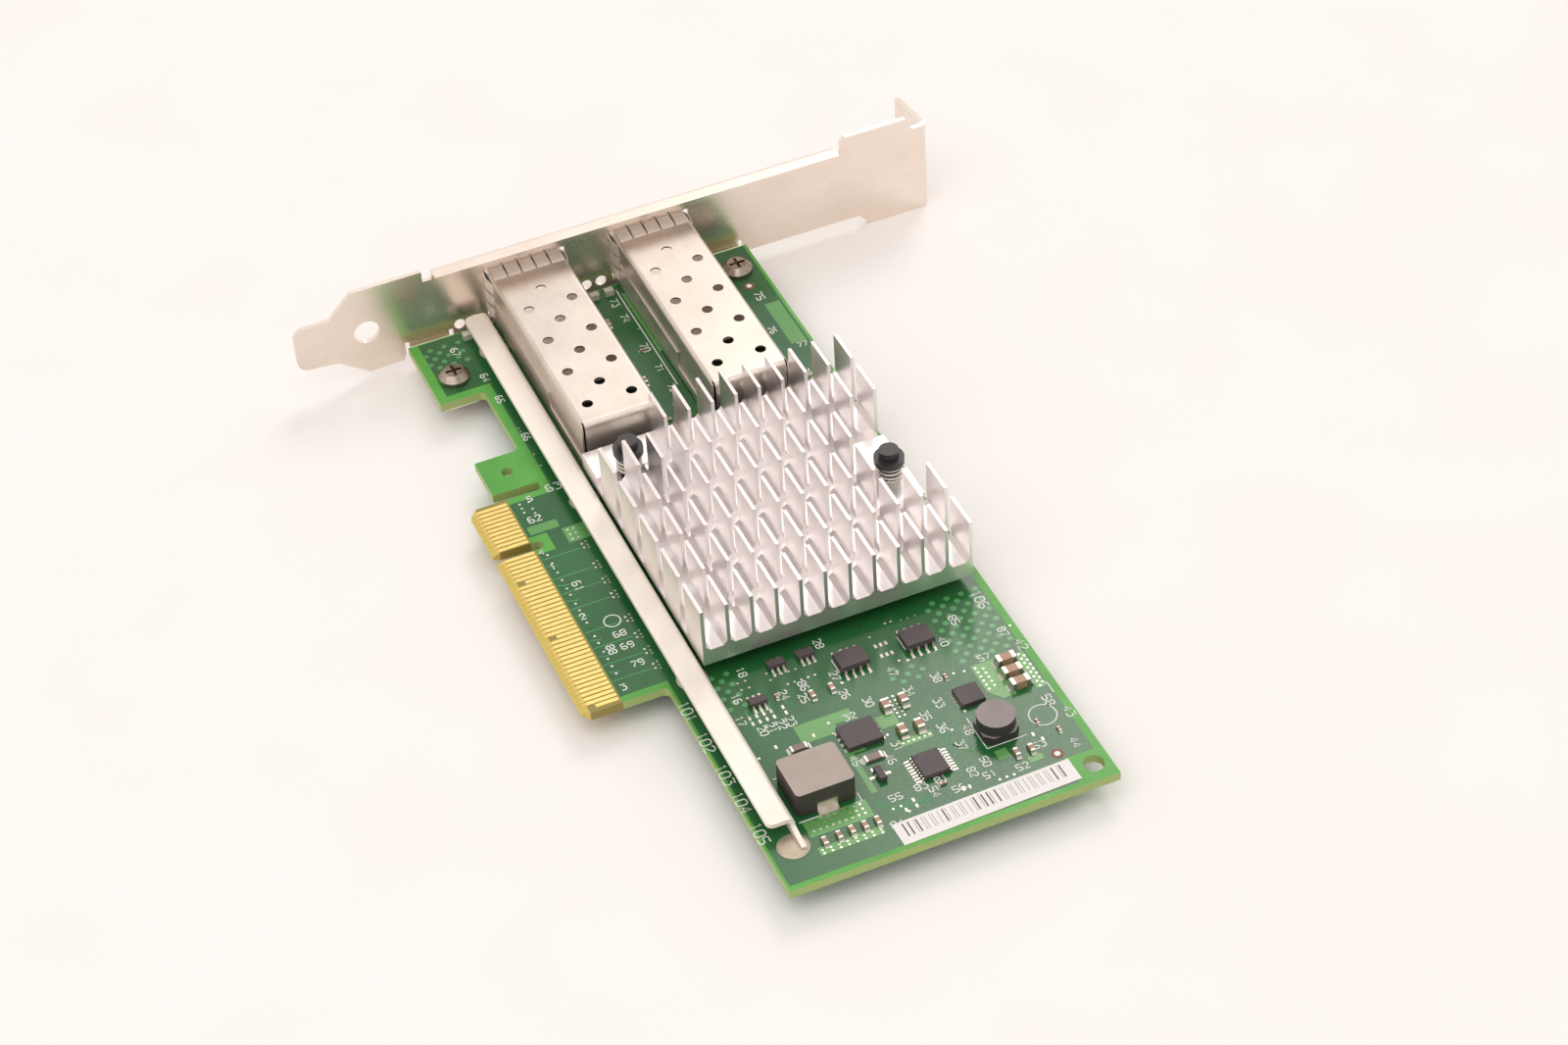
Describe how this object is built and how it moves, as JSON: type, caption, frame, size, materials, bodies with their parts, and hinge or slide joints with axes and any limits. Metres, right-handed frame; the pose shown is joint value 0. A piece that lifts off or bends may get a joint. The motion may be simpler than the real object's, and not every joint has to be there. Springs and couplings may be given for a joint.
{
  "type": "network interface card",
  "caption": "Plug-in network card: green board with gold edge contacts, caged transceiver ports, cross-cut finned heat sink, stiffener bar and tall steel bracket.",
  "frame": {"origin": "middle of the key notch on the edge-contact side, on the board's solder side", "axes": "+X out of the contact edge into the host's connector, +Y away from the bracket along the board's long edge, +Z out of the component side"},
  "size_m": [0.12, 0.1582, 0.0206],
  "materials": {
    "solder_mask": "satin green laminate",
    "gold_plate": "plated",
    "bracket_steel": "bright nickel",
    "screw_steel": "bright",
    "cage_steel": "bright",
    "spring_steel": "bright",
    "host_plastic": "matte black",
    "bar_nickel": "satin nickel",
    "solder": "satin tin",
    "sink_aluminium": "mill finish",
    "pin_nylon": "dark grey",
    "coil_steel": "bright wire",
    "chip_package": "dark moulding",
    "thermal_pad": "grey",
    "lead_tin": "tinned",
    "inductor_ferrite": "warm grey",
    "capacitor_ceramic": "tan",
    "resistor_ceramic": "dark film",
    "led_lens": "clear",
    "label_paper": "white"
  },
  "bodies": {
    "root": {"circuit_board": "solder_mask", "edge_contacts_top": "gold_plate", "edge_contacts_bottom": "gold_plate", "io_bracket": "bracket_steel", "bracket_screws": "screw_steel", "cage_a_cover": "cage_steel", "cage_b_cover": "cage_steel", "cage_a_base": "cage_steel", "cage_b_base": "cage_steel", "cage_a_springs": "spring_steel", "cage_b_springs": "spring_steel", "host_connector_a": "host_plastic", "host_connector_b": "host_plastic", "stiffener_bar": "bar_nickel", "bar_solder_joints": "solder", "heat_sink": "sink_aluminium", "push_pin_a": "pin_nylon", "push_pin_b": "pin_nylon", "pin_spring_a": "coil_steel", "pin_spring_b": "coil_steel", "controller_chip": "chip_package", "thermal_pad": "thermal_pad", "memory_chips": "chip_package", "logic_chips": "chip_package", "power_controller": "chip_package", "power_stage": "chip_package", "regulator_chip": "chip_package", "transistor": "chip_package", "chip_leads": "lead_tin", "power_inductor": "inductor_ferrite", "inductor_terminals": "lead_tin", "shielded_inductor": "inductor_ferrite", "large_capacitors": "capacitor_ceramic", "small_capacitors": "capacitor_ceramic", "solder_side_capacitors": "capacitor_ceramic", "chip_resistors": "resistor_ceramic", "indicator_leds": "led_lens", "barcode_label": "label_paper"}
  },
  "joints": []
}
